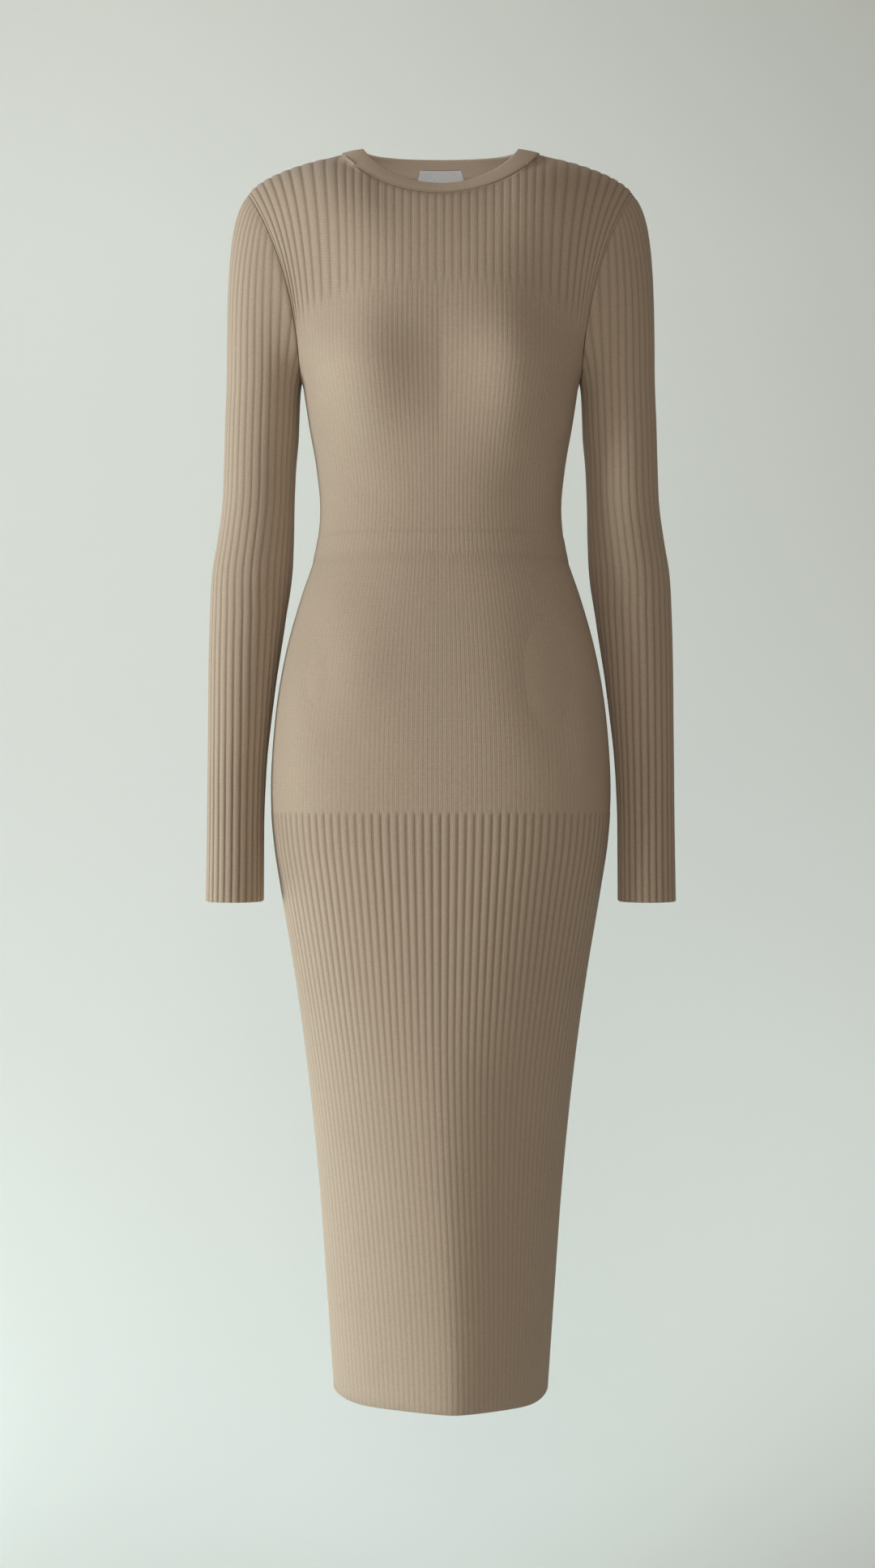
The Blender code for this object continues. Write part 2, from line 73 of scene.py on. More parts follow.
# Degrees a panel still climbs where it ends: at the middle, at the neck corner, at the shoulder tip.
NECK_LEAN = 58.0
CORNER_LEAN = {FRONT: 14.0, BACK: 6.0}
TIP_LEAN = {FRONT: 2.0, BACK: 8.0}
LEAN_POWER = 3              # larger keeps more of the middle's lean towards the corner
UNDER_STEP = 0.02           # how far below the underarm the slope of the body is read
NECK_PULL = 0.165           # how strongly a column keeps its lean as it nears the top,
PULL_LOSS, PULL_REACH = 0.025, 0.80     # and how much less it does towards the side
LEAN_OVER = (1.4, 4, 4)     # how late columns lean over to the armhole: aside, in depth, in height
CHEST_ROUND = 2.2           # power by which the chest rounds from the middle to the armhole
CHEST_ROWS = (0.0, 0.45, 0.50, 1.0)     # share of the way up where the chest's round comes and goes
RIB_CROWDING = 0.5          # how far an armhole's angle runs ahead of even steps
BUST = (0.0190, 0.0760, -0.2320, 0.0460, 0.0620)    # proud, aside, height, width, tallness
BUST_FADE = 6               # power by which it fades to the armhole

Section = namedtuple("Section", "height half_width front_depth back_depth squareness")
BODY_SECTIONS = (
    Section(-1.2200, 0.1060, 0.0955, 0.0900, 1.48),     # hem, with a soft ridge down its middle
    Section(-1.1310, 0.1120, 0.0965, 0.0945, 1.54),
    Section(-1.0000, 0.1215, 0.0985, 0.1010, 1.68),
    Section(-0.8900, 0.1332, 0.1005, 0.1075, 1.86),     # knee
    Section(-0.8100, 0.1440, 0.1030, 0.1135, 2.10),
    Section(-0.7300, 0.1570, 0.1055, 0.1195, 2.30),
    Section(-0.6830, 0.1640, 0.1070, 0.1220, 2.45),
    Section(-0.6350, 0.1670, 0.1075, 0.1230, 2.50),     # hip, where the wide ribs of the skirt start
    Section(-0.5870, 0.1650, 0.1065, 0.1200, 2.50),
    Section(-0.5390, 0.1600, 0.1040, 0.1140, 2.45),
    Section(-0.4910, 0.1510, 0.0990, 0.1050, 2.40),
    Section(-0.4430, 0.1375, 0.0925, 0.0935, 2.35),
    Section(-0.4030, 0.1245, 0.0860, 0.0840, 2.30),
    Section(-0.3590, 0.1188, 0.0825, 0.0795, 2.25),     # waist
    Section(-0.3150, 0.1225, 0.0860, 0.0820, 2.25),
    Section(-0.2700, 0.1302, 0.0930, 0.0880, 2.30),     # under the bust
    Section(UNDERARM[1], 0.1363, 0.0985, 0.0935, 2.35),
)
HEM_Z = BODY_SECTIONS[0].height
SKIRT_LINE = -0.6535        # wide ribs below, fine ribs above
SKIRT_CHANGE = (0.0020, 0.0015)         # how far below and above it the ribs change
WAIST_BAND = (-0.4080, -0.3850)         # a band of tighter stitches, a little proud
BAND_PROUD = 0.0005
BAND_EDGE, HIP_CHANGE = 0.0015, 0.0020  # half the height in which the band and the ribs change
YOKE_LINE = -0.1527         # wide ribs above, fine ribs below, at the middle of a panel;
YOKE_DROP, YOKE_CURVE = 0.040, 2.5      # at the side it is this much lower
YOKE_SOFT, SOFT_MORE, SOFT_POWER = 0.006, 0.016, 3      # half the height of the change, more at the side

# The two edges of the waist band: how wide and deep each is drawn in, and how much painted shade it takes.
Crease = namedtuple("Crease", "height width sink shade")
WAIST_CREASES = (Crease(WAIST_BAND[0], 0.0040, 0.6, 0.13), Crease(WAIST_BAND[1], 0.0016, 0.0, 0.04))

# Ribs from the middle to the side of a panel, how deep their grooves are and how flat their crowns.
Ribs = namedtuple("Ribs", "count depth flatness")
YOKE_RIBS = Ribs(22, 0.0009, 2.8)
BODICE_RIBS = Ribs(41, 0.00025, 2.0)
HIP_RIBS = Ribs(49, 0.00020, 2.0)
SKIRT_RIBS = Ribs(28, 0.0011, 2.4)
SKIRT_START = 0.5           # of a rib, so a groove runs down the middle of the skirt
CROWN_MEAN = 0.6            # mean height of a rib, which lies on the panel's face
FULL_GROOVE = 0.0015        # depth of a groove that takes the full painted groove shade
# Share of the yoke's ribs passed by share of the half width, and share of their depth: half at the
# middle, more from YOKE_DEEPENS outwards.
YOKE_SPREAD = ((0.0, 0.0), (0.25, 0.280), (0.50, 0.560), (0.68, 0.716), (1.0, 1.0))
YOKE_SHALLOW, YOKE_MORE, YOKE_DEEPENS = 0.50, 0.65, (0.25, 0.80)
# Share of the skirt's depth of rib by height.
SKIRT_DEPTHS = ((-1.22, 0.24), (-1.05, 0.37), (-0.93, 0.45), (-0.85, 0.68), (-0.73, 0.92), (-0.65, 0.90))

COLUMNS = 441
SECTION_STEPS = 481         # steps in which the length round a section is measured
SMOOTHINGS = 400            # passes that ease the columns into each other under the neck's corners,
SMOOTH_SHARE = 0.8          # how far each pass goes,
SMOOTH_REACH = 0.10         # how far they spread from the corner,
SMOOTH_ROWS = (0.0, 0.3, 0.86, 1.03)    # and the share of the way up where they come and go
# Rows up to the underarm, closer together where the ribs change and at the waist band.
ROWS_BELOW = np.concatenate([np.linspace(HEM_Z, -0.668, 51)[:-1], np.linspace(-0.668, -0.636, 13)[:-1],
                             np.linspace(-0.636, -0.412, 27)[:-1], np.linspace(-0.412, -0.381, 14)[:-1],
                             np.linspace(-0.381, UNDERARM[1], 19)])
ROWS_ABOVE = np.linspace(0, 1, 44)
INNER_EVERY = 3             # the inner face keeps one row in three

# Soft folds of a panel: where each starts and ends (metres aside and up), how deep and how wide.
Fold = namedtuple("Fold", "aside up to_aside to_up depth width")


def smooth(low, high, value):
    """Smooth step: 0 below low, 1 above high, 3t^2 - 2t^3 between."""
    t = np.clip((value - low) / (high - low), 0.0, 1.0)
    return t * t * (3.0 - 2.0 * t)


def rise_and_fall(rise_from, rise_to, fall_from, fall_to, value):
    """Smooth hump: up from 0 to 1 between the first two, and down again between the last two."""
    return smooth(rise_from, rise_to, value) * (1 - smooth(fall_from, fall_to, value))


def unit(vectors):
    """Vectors divided by their lengths."""
    return vectors / np.linalg.norm(vectors, axis=-1, keepdims=True)


def hermite(start, start_slope, end, end_slope, t):
    """Cubic Hermite curve between two points with given slopes."""
    return ((2 * t**3 - 3 * t**2 + 1) * start + (t**3 - 2 * t**2 + t) * start_slope
            + (3 * t**2 - 2 * t**3) * end + (t**3 - t**2) * end_slope)


def through(knots, rows, wanted):
    """Cubic Hermite curve through table rows, with each knot's slope taken from its neighbours."""
    rows = np.asarray(rows, float)
    slopes = np.gradient(rows, knots, axis=0)
    i = np.clip(np.searchsorted(knots, wanted, side="right") - 1, 0, len(knots) - 2)
    span = (knots[i + 1] - knots[i])[:, None]
    return hermite(rows[i], span * slopes[i], rows[i + 1], span * slopes[i + 1],
                   (wanted - knots[i])[:, None] / span)


def grid_normals(points, wrap=False):
    """Unit normals of a grid of points from the differences between neighbours."""
    if wrap:
        around = np.roll(points, -1, axis=1) - np.roll(points, 1, axis=1)
    else:
        around = np.gradient(points, axis=1)
    return unit(np.cross(around, np.gradient(points, axis=0)))


def body_section(side, across, height):
    """Half a body section at each height: |x/a|^n + |y/b|^n = 1, walked in equal steps of length."""
    knots = np.array([row.height for row in BODY_SECTIONS])
    _, half_width, front, back, square = through(knots, BODY_SECTIONS, height).T[..., None]
    angle = np.linspace(-np.pi / 2, np.pi / 2, SECTION_STEPS)
    x = half_width * np.sign(angle) * np.abs(np.sin(angle)) ** (2 / square)
    y = side * (front if side == FRONT else back) * np.abs(np.cos(angle)) ** (2 / square)
    steps = np.hypot(np.diff(x), np.diff(y))
    length = np.concatenate([np.zeros((len(height), 1)), np.cumsum(steps, axis=1)], axis=1)
    share = (across + 1) / 2
    flat = [[np.interp(share * walk[-1], walk, axis) for walk, axis in zip(length, grid)]
            for grid in (x, y)]
    return np.stack([*flat, np.broadcast_to(height[:, None], (len(height), len(across)))], axis=-1)


def armhole(side, turn):
    """Armhole edge from the underarm (0) to the shoulder tip (1): an angle that runs ahead of the
    turn, height as half of 1 - cos, depth as sin, and half width as a power of the height."""
    angle = np.pi * turn + RIB_CROWDING * np.sin(np.pi * turn)
    rise = (1 - np.cos(angle)) / 2
    return np.stack([UNDERARM[0] + (SHOULDER_TIP[0] - UNDERARM[0]) * rise ** ARMHOLE_POWER[side],
                     SHOULDER_TIP[1] * rise + ARMHOLE_SWING[side] * np.sin(angle),
                     UNDERARM[1] + (SHOULDER_TIP[2] - UNDERARM[1]) * rise], axis=-1)


def neck_ring(angle, width, front, back, side_z):
    """Ring round the neck, angle 0 in front: x as sin, depth and height as powers of cos."""
    ahead, behind = np.clip(np.cos(angle), 0, None), np.clip(-np.cos(angle), 0, None)
    deep_front, high_front, high_back = NECK_POWERS
    return np.stack([width * np.sin(angle), front[0] * ahead ** deep_front + back[0] * behind,
                     side_z + (front[1] - side_z) * ahead ** high_front
                     + (back[1] - side_z) * behind ** high_back], axis=-1)


def neck_seam(angle):
    """Seam between the panels and the neckband."""
    return neck_ring(angle, NECK_X, NECK_FRONT, NECK_BACK, NECK_SIDE_Z)


def neck_angle(side, across):
    """Angle round the neck at which a column ends, so that the ribs stay upright and equally wide."""
    turn = np.arcsin(across / NECK_SHARE)
    return turn if side == FRONT else np.pi - turn


def shoulder_seam(along):
    """Shoulder seam from the neck (0) to the tip (1), a cubic that steepens at the tip."""
    return hermite(neck_seam(np.array([np.pi / 2]))[0], np.array(SHOULDER_LEAVES),
                   np.array(SHOULDER_TIP), np.array(SHOULDER_ENDS), along[:, None])


def panel_face(side, across):
    """Outer face of a panel, rows by columns by 3: body sections up to the underarm, then a cubic in
    each column up to the neck or shoulder seam, the outer columns leaning over to the armhole edge."""
    lower = body_section(side, across, ROWS_BELOW)
    low_share = 1 - (ROWS_BELOW - HEM_Z) / (UNDERARM[1] - HEM_Z)
    reach = np.abs(across)
    if side == FRONT:
        half_width = np.abs(lower[:, -1:, 0])
        below_ridge_top = smooth(-RIDGE_TOP, -HEM_Z, -ROWS_BELOW)[:, None]
        lower[..., 0] += RIDGE_ASIDE * below_ridge_top * (1 - (lower[..., 0] / half_width) ** 2)
        for _ in range(RIDGE_EASINGS):
            to_middle = (lower[:, :-2, 1] + lower[:, 2:, 1]) / 2 - lower[:, 1:-1, 1]
            lower[:, 1:-1, 1] += below_ridge_top * to_middle * (reach[1:-1] < RIDGE_REACH)
    hang = HEM_DIP * np.cos(across * np.pi / 2) ** 2 + HEM_HANG * np.sin(np.pi * reach ** HANG_POWER)
    lower[..., 2] -= hang * low_share[:, None] ** HEM_FADE

    base, under = body_section(side, across, np.array([UNDERARM[1], UNDERARM[1] - UNDER_STEP]))
    top = neck_seam(neck_angle(side, np.clip(across, -NECK_SHARE, NECK_SHARE)))
    on_shoulder = reach > NECK_SHARE
    seam = shoulder_seam((reach[on_shoulder] - NECK_SHARE) / (1 - NECK_SHARE))
    seam[:, 0] *= np.sign(across[on_shoulder])
    top[on_shoulder] = seam

    start_slope = (base - under) / UNDER_STEP * (top[:, 2] - base[:, 2])[:, None]
    corner, tip = CORNER_LEAN[side], TIP_LEAN[side]
    lean = np.radians(np.where(on_shoulder, corner + (tip - corner) * smooth(NECK_SHARE, 1, reach),
                               corner + (NECK_LEAN - corner) * (1 - (reach / NECK_SHARE) ** LEAN_POWER)))
    pull = NECK_PULL - PULL_LOSS * smooth(0.0, PULL_REACH, reach)
    end_slope = np.stack([np.zeros_like(pull), -side * np.cos(lean) * pull, np.sin(lean) * pull], axis=-1)

    # Each row's place up its column is the mean of an even step and the armhole's own.
    angle = np.pi * ROWS_ABOVE + RIB_CROWDING * np.sin(np.pi * ROWS_ABOVE)
    t = (0.5 * ROWS_ABOVE + 0.25 * (1 - np.cos(angle)))[:, None, None]
    upper = hermite(base, start_slope, top, end_slope, t)
    edge = armhole(side, ROWS_ABOVE)[:, None, :]
    lean_over = np.stack([reach ** power for power in LEAN_OVER], axis=-1)
    for end in (0, -1):
        sign = np.array([np.sign(across[end]), 1.0, 1.0])
        half = (np.sign(across) == np.sign(across[end]))[None, :, None]
        upper = upper + half * lean_over * (edge * sign - upper[:, [end], :])
    middle = upper[:, [len(across) // 2], 1]
    fall = np.abs(upper[..., 0] / upper[:, -1:, 0]) ** CHEST_ROUND
    even = middle + (edge[:, :, 1] - middle) * fall
    upper[..., 1] += rise_and_fall(*CHEST_ROWS, t)[..., 0] * (even - upper[..., 1])
    near_corner = np.exp(-((reach - NECK_SHARE) / SMOOTH_REACH) ** 2)
    settle = (near_corner * rise_and_fall(*SMOOTH_ROWS, ROWS_ABOVE)[:, None])[1:-1, 1:-1, None]
    for _ in range(SMOOTHINGS):
        beside = (upper[1:-1, :-2] + upper[1:-1, 2:]) / 2
        upper[1:-1, 1:-1] += SMOOTH_SHARE * (beside - upper[1:-1, 1:-1]) * settle
    points = np.concatenate([lower[:-1], upper])
    if side == FRONT:
        proud, aside, height, wide, tall = BUST
        rise = np.exp(-((np.abs(points[..., 0]) - aside) / wide) ** 2
                      - ((points[..., 2] - height) / tall) ** 2)
        points[..., 1] -= proud * rise * (1 - reach ** BUST_FADE)
    points[..., 1] += side * SEAM_GAP / 2
    return points


def rib(turns, flatness):
    """One rib to each whole turn, 1 on its crown and 0 in its groove: 1 - (way to groove)^flatness."""
    return 1 - (2 * np.abs(turns - np.round(turns))) ** flatness


def fold_height(folds, aside, up):
    """Sum of soft folds: each is a bell across its line, and sin squared along it, so 0 at its ends."""
    height = np.zeros(np.broadcast(aside, up).shape)
    for f in folds:
        run = np.array([f.to_aside - f.aside, f.to_up - f.up])
        t = ((aside - f.aside) * run[0] + (up - f.up) * run[1]) / (run @ run)
        t = np.clip(t, 0, 1)
        away = np.hypot(aside - f.aside - t * run[0], up - f.up - t * run[1])
        height += f.depth * np.sin(np.pi * t) ** 2 * np.exp(-(away / f.width) ** 2)
    return height


def panel_ribs(side, across, points):
    """Height of the knit above the face, and how much painted groove shade each point takes (0 to 1)."""
    z = points[..., 2]
    reach = np.abs(across)[None, :]
    line = YOKE_LINE - YOKE_DROP * reach ** YOKE_CURVE
    soft = YOKE_SOFT + SOFT_MORE * reach ** SOFT_POWER
    yoke = smooth(line - soft, line + soft, z)
    skirt = 1 - smooth(SKIRT_LINE - SKIRT_CHANGE[0], SKIRT_LINE + SKIRT_CHANGE[1], z)
    above_hip = smooth(WAIST_BAND[0] - HIP_CHANGE, WAIST_BAND[0] + HIP_CHANGE, z)
    bodice = (1 - yoke) * above_hip
    hip = (1 - yoke) * (1 - skirt) * (1 - above_hip)
    fade = np.interp(z, *np.array(SKIRT_DEPTHS).T)
    spread = np.interp(np.abs(across), *np.array(YOKE_SPREAD).T)
    yoke_share = yoke * (YOKE_SHALLOW + YOKE_MORE * smooth(*YOKE_DEEPENS, reach))
    height, groove_shade = np.zeros(z.shape), np.zeros(z.shape)
    for ribs, share, turns in ((YOKE_RIBS, yoke_share, spread * YOKE_RIBS.count),
                               (BODICE_RIBS, bodice, across * BODICE_RIBS.count),
                               (HIP_RIBS, hip, across * HIP_RIBS.count),
                               (SKIRT_RIBS, skirt * fade, across * SKIRT_RIBS.count + SKIRT_START)):
        crown = rib(turns, ribs.flatness)[None, :]
        height += share * ribs.depth * (crown - CROWN_MEAN)
        # painted shade in each rib's groove, darker where the rib is deeper
        groove_shade += share * (1 - crown) * (ribs.depth / FULL_GROOVE)
    low, high = WAIST_BAND
    band = smooth(-BAND_EDGE, BAND_EDGE, z - low) * smooth(-BAND_EDGE, BAND_EDGE, high - z)
    for crease in WAIST_CREASES:
        bell = np.exp(-((z - crease.height) / crease.width) ** 2)
        band = band - crease.sink * bell
        # painted shade along each edge of the waist band
        groove_shade += crease.shade * bell
    return height + BAND_PROUD * band, groove_shade


EDGE_SHADE, INNER_SHADE = 0.5, 0.6      # share of the painted groove shade on a wall's edges and inner face


def closed_wall(name, outer, inner, ends, wales, courses, groove_shade, wrap):
    """Mesh of a wall of cloth: the outer rows, a rounded edge, the inner rows back, a rounded edge.

    outer and inner are rows by columns by 3, the inner one with fewer rows.  ends gives how far the
    edge rounds out past the first and last row.  The sides of an unwrapped wall are capped.  wales
    and courses become the UV map "knit"; the groove shade, painted shade of grooves and seams, becomes
    the point attribute of that name, with a share of it on the edges and the inner face.
    """
    rows, columns = outer.shape[:2]
    inner_rows = len(inner)
    every = (rows - 1) // (inner_rows - 1)

    def edge(row, before, out):
        tangent = unit(outer[row] - outer[before])
        return ((outer[row] + inner[row and -1]) / 2 + tangent * out)[None]

    loop = np.concatenate([outer, edge(-1, -2, ends[1]), inner[::-1], edge(0, 1, ends[0])])
    along = np.concatenate([courses, courses[-1:], courses[::-every], courses[:1]])
    # painted groove shade for every row of the loop
    painted_shade = np.concatenate([groove_shade, groove_shade[-1:] * EDGE_SHADE, groove_shade[::-every] * INNER_SHADE,
                           groove_shade[:1] * EDGE_SHADE])
    total = len(loop)
    r, c = np.meshgrid(np.arange(total), np.arange(columns if wrap else columns - 1), indexing="ij")
    corner_r = np.stack([r, r, r + 1, r + 1], axis=-1) % total
    corner_c = np.stack([c, c + 1, c + 1, c], axis=-1)
    quads = (corner_r * columns + corner_c % columns).reshape(-1, 4)
    uv = [np.stack([wales[corner_c], along[corner_r]], axis=-1).reshape(-1, 2)]
    faces = quads.tolist()
    if not wrap:
        last_inner = rows + inner_rows
        for column, order in ((0, -1), (columns - 1, 1)):
            caps = [[*range(every * i, every * i + every + 1), last_inner - i - 1, last_inner - i]
                    for i in range(inner_rows - 1)]
            caps += [[rows - 1, rows, rows + 1], [0, total - 2, total - 1]]
            for cap in caps:
                faces.append([row * columns + column for row in cap[::order]])
                uv.append(np.array([[wales[column], along[row]] for row in cap[::order]]))

    mesh = bpy.data.meshes.new(name)
    mesh.from_pydata(loop.reshape(-1, 3).tolist(), [], faces)
    layer = mesh.uv_layers.new(name="knit")
    layer.uv.foreach_set("vector", np.concatenate(uv).astype(np.float32).ravel())
    value = mesh.attributes.new("groove_shade", "FLOAT", "POINT")
    value.data.foreach_set("value", painted_shade.astype(np.float32).ravel())
    turn_outwards(mesh)
    mesh.shade_smooth()
    return mesh


def turn_outwards(mesh):
    """Flip the faces of a closed mesh if the volume they enclose comes out negative."""
    mesh.calc_loop_triangles()
    corners = np.empty(len(mesh.vertices) * 3)
    mesh.vertices.foreach_get("co", corners)
    index = np.empty(len(mesh.loop_triangles) * 3, dtype=np.int32)
    mesh.loop_triangles.foreach_get("vertices", index)
    t = corners.reshape(-1, 3)[index.reshape(-1, 3)]
    if np.einsum("ij,ij->i", t[:, 0], np.cross(t[:, 1], t[:, 2])).sum() < 0:
        mesh.flip_normals()


KNIT_ROUGHNESS, KNIT_SHINE = 0.88, 0.25
SHEEN_ROUGHNESS, SHEEN_TINT = 0.55, (0.95, 0.88, 0.78, 1)
DRIFT_SCALE, DRIFT_TONE = 14.0, 0.10    # slow drift of the tone from place to place
FUZZ_SCALE, FUZZ_TONE = 620.0, 0.34     # and its change from fibre to fibre
NOISE_DETAIL, NOISE_MEAN = 3.0, 0.5
# painted shade of the stitches: lighter on a stitch's height, darker between, about its mean height
STITCH_SHADE, STITCH_MEAN = 0.16, 0.45
STITCH_BODY, STITCH_SWING = 0.62, 0.38  # a stitch's height at the middle of its wale, and its wave
V_SLANT = 0.55              # courses over which the legs of a stitch rise to the side of the wale
FUZZ_BUMP, BUMP_HEIGHT = 0.8, 0.0005


def knit_material(name, crown, groove_shade, stitch_bump, sheen):
    """Knitted cloth.  The base colour goes from crown to a painted groove shade by the groove shade
    attribute, drifts a little from place to place, and each V of a stitch is laid over it as painted
    shade, lighter on its height and darker between, from the UV map "knit"; the stitches shape the bump too."""
    made = bpy.data.materials.new(name)
    made.use_nodes = True
    nodes, links = made.node_tree.nodes, made.node_tree.links
    shader = nodes["Principled BSDF"]
    shader.inputs["Roughness"].default_value = KNIT_ROUGHNESS
    shader.inputs["Specular IOR Level"].default_value = KNIT_SHINE
    shader.inputs["Sheen Weight"].default_value = sheen
    shader.inputs["Sheen Roughness"].default_value = SHEEN_ROUGHNESS
    shader.inputs["Sheen Tint"].default_value = SHEEN_TINT

    def math(operation, first, second=None):
        node = nodes.new("ShaderNodeMath")
        node.operation = operation
        for socket, value in zip(node.inputs, (first, second)):
            if isinstance(value, (int, float)):
                socket.default_value = value
            elif value is not None:
                links.new(value, socket)
        return node.outputs[0]

    def noise(scale):
        node = nodes.new("ShaderNodeTexNoise")
        node.inputs["Scale"].default_value = scale
        node.inputs["Detail"].default_value = NOISE_DETAIL
        links.new(where, node.inputs["Vector"])
        return node.outputs["Fac"]

    def about_zero(value, mean, strength):
        return math("MULTIPLY", math("SUBTRACT", value, mean), strength)

    where = nodes.new("ShaderNodeTexCoord").outputs["Object"]
    map_node = nodes.new("ShaderNodeUVMap")
    map_node.uv_map = "knit"
    split = nodes.new("ShaderNodeSeparateXYZ")
    links.new(map_node.outputs["UV"], split.inputs[0])
    wale, course = split.outputs["X"], split.outputs["Y"]
    off_middle = math("MULTIPLY", math("ABSOLUTE", math("SUBTRACT", math("FRACT", wale), 0.5)), 2)
    slanted = math("ADD", course, math("MULTIPLY", off_middle, V_SLANT))
    loops = math("SINE", math("MULTIPLY", slanted, 2 * np.pi))
    across = math("SUBTRACT", 1, math("POWER", off_middle, 2))
    stitch = math("MULTIPLY", across, math("ADD", STITCH_BODY, math("MULTIPLY", loops, STITCH_SWING)))

    painted_shade = nodes.new("ShaderNodeAttribute")
    painted_shade.attribute_name = "groove_shade"
    drift, fuzz = noise(DRIFT_SCALE), noise(FUZZ_SCALE)
    # random drift and fuzz of tone, together with the stitches' painted shade
    tone_and_stitch_shade = math("ADD", about_zero(drift, NOISE_MEAN, DRIFT_TONE),
                math("ADD", about_zero(fuzz, NOISE_MEAN, FUZZ_TONE),
                     about_zero(stitch, STITCH_MEAN, STITCH_SHADE)))
    mix = nodes.new("ShaderNodeMix")
    mix.data_type = "RGBA"
    mix.inputs["A"].default_value = (*crown, 1)
    mix.inputs["B"].default_value = (*groove_shade, 1)
    links.new(math("MINIMUM", painted_shade.outputs["Fac"], 1), mix.inputs["Factor"])
    toned_and_shaded = nodes.new("ShaderNodeHueSaturation")
    links.new(mix.outputs["Result"], toned_and_shaded.inputs["Color"])
    links.new(math("ADD", tone_and_stitch_shade, 1.0), toned_and_shaded.inputs["Value"])
    links.new(toned_and_shaded.outputs["Color"], shader.inputs["Base Color"])

    bump = nodes.new("ShaderNodeBump")
    bump.inputs["Strength"].default_value = stitch_bump
    bump.inputs["Distance"].default_value = BUMP_HEIGHT
    links.new(math("ADD", stitch, math("MULTIPLY", fuzz, FUZZ_BUMP)), bump.inputs["Height"])
    links.new(bump.outputs["Normal"], shader.inputs["Normal"])
    return made


def place(name, mesh, finish):
    """One finished piece: an object at the origin, in its material, standing for its solid."""
    mesh.materials.append(finish)
    piece = bpy.data.objects.new(name, mesh)
    bpy.context.scene.collection.objects.link(piece)
    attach(piece, "root")
    return piece


# The cloth's own taupe, and the painted shade colour that its grooves go to
TAUPE, TAUPE_GROOVE_SHADE = (0.475, 0.372, 0.280), (0.240, 0.165, 0.105)
STITCH_BUMP, SHEEN = 0.35, 0.25
rib_knit = knit_material("taupe_rib_knit", TAUPE, TAUPE_GROOVE_SHADE, STITCH_BUMP, SHEEN)

FRONT_FOLDS = (
    Fold(-0.116, -0.440, -0.128, -0.600, -0.0030, 0.026),      # under the hip bones
    Fold(0.100, -0.425, 0.112, -0.620, -0.0045, 0.030),
    Fold(0.146, -0.520, 0.140, -0.640, 0.0024, 0.016),
    Fold(-0.070, -0.430, -0.078, -0.600, 0.0022, 0.032),
    Fold(-0.128, -0.325, -0.030, -0.356, -0.0014, 0.010),      # at the waist
    Fold(0.130, -0.318, 0.040, -0.350, -0.0016, 0.011),
    Fold(-0.142, -0.258, -0.070, -0.302, -0.0014, 0.012),      # from under the arms
    Fold(0.142, -0.252, 0.062, -0.306, -0.0016, 0.013),
)
BACK_FOLDS = (
    Fold(-0.105, -0.318, -0.020, -0.332, -0.0014, 0.011),      # in the hollow of the back
    Fold(0.108, -0.326, 0.010, -0.346, -0.0013, 0.012),
    Fold(-0.090, -0.362, 0.030, -0.370, -0.0011, 0.010),
    Fold(-0.122, -0.250, -0.080, -0.292, -0.0010, 0.012),
    Fold(0.120, -0.256, 0.084, -0.296, -0.0012, 0.012),
    Fold(-0.085, -0.600, -0.040, -0.660, -0.0016, 0.024),      # under the seat
    Fold(0.088, -0.604, 0.036, -0.668, -0.0018, 0.022),
)
WALES_PER_PANEL = 220
COURSE = 0.0018             # height of one course of stitches
SEAM_SINK = 0.0004          # how far the cloth is drawn in along a seam
SEAM_REACH = 0.0030
SEAM_SHADE = 0.35           # how much painted groove shade the cloth takes along its top edge
HEM_ROUND = 0.0008          # how far the hem and the cuffs round out past their last row


def run_along(line):
    """Length run along a line of points, 0 at its first."""
    return np.concatenate([[0.0], np.cumsum(np.linalg.norm(np.diff(line, axis=0), axis=-1))])


for piece_name, side, folds, flat, area in (("knit_front", FRONT, FRONT_FOLDS, (0.455, 1.275), 0.452),
                                            ("knit_back", BACK, BACK_FOLDS, (0.477, 1.281), 0.465)):
    across = np.linspace(-1, 1, COLUMNS)
    face = panel_face(side, across)
    normals = grid_normals(face) * -side
    normals[:, 0] = normals[:, 1]
    normals[:, -1] = normals[:, -2]
    lift, groove_shade = panel_ribs(side, across, face)
    run = run_along(face[:, COLUMNS // 2])
    half_length = np.linalg.norm(np.diff(face, axis=1), axis=-1).sum(axis=1)[:, None] / 2
    to_side = (1 - np.abs(across))[None, :] * half_length
    to_top = (run[-1] - run)[:, None]
    near_seam = np.exp(-(np.minimum(to_side, to_top) / SEAM_REACH) ** 2)
    lift = lift * (1 - near_seam) - SEAM_SINK * near_seam
    # painted shade along the panel's top edge, under the neckband and along the shoulders
    groove_shade = groove_shade + SEAM_SHADE * np.exp(-(to_top / (2 * SEAM_REACH)) ** 2)
    lift += fold_height(folds, across[None, :] * half_length, face[..., 2])
    outer = face + normals * lift[..., None]
    inner = (face - CLOTH * normals)[::INNER_EVERY]
    mesh = closed_wall(piece_name, outer, inner, (HEM_ROUND, 0.0), (across + 1) / 2 * WALES_PER_PANEL,
                       run / COURSE, groove_shade, wrap=False)
    panel_piece = place(piece_name, mesh, rib_knit)
    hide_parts("front" if side == FRONT else "back")

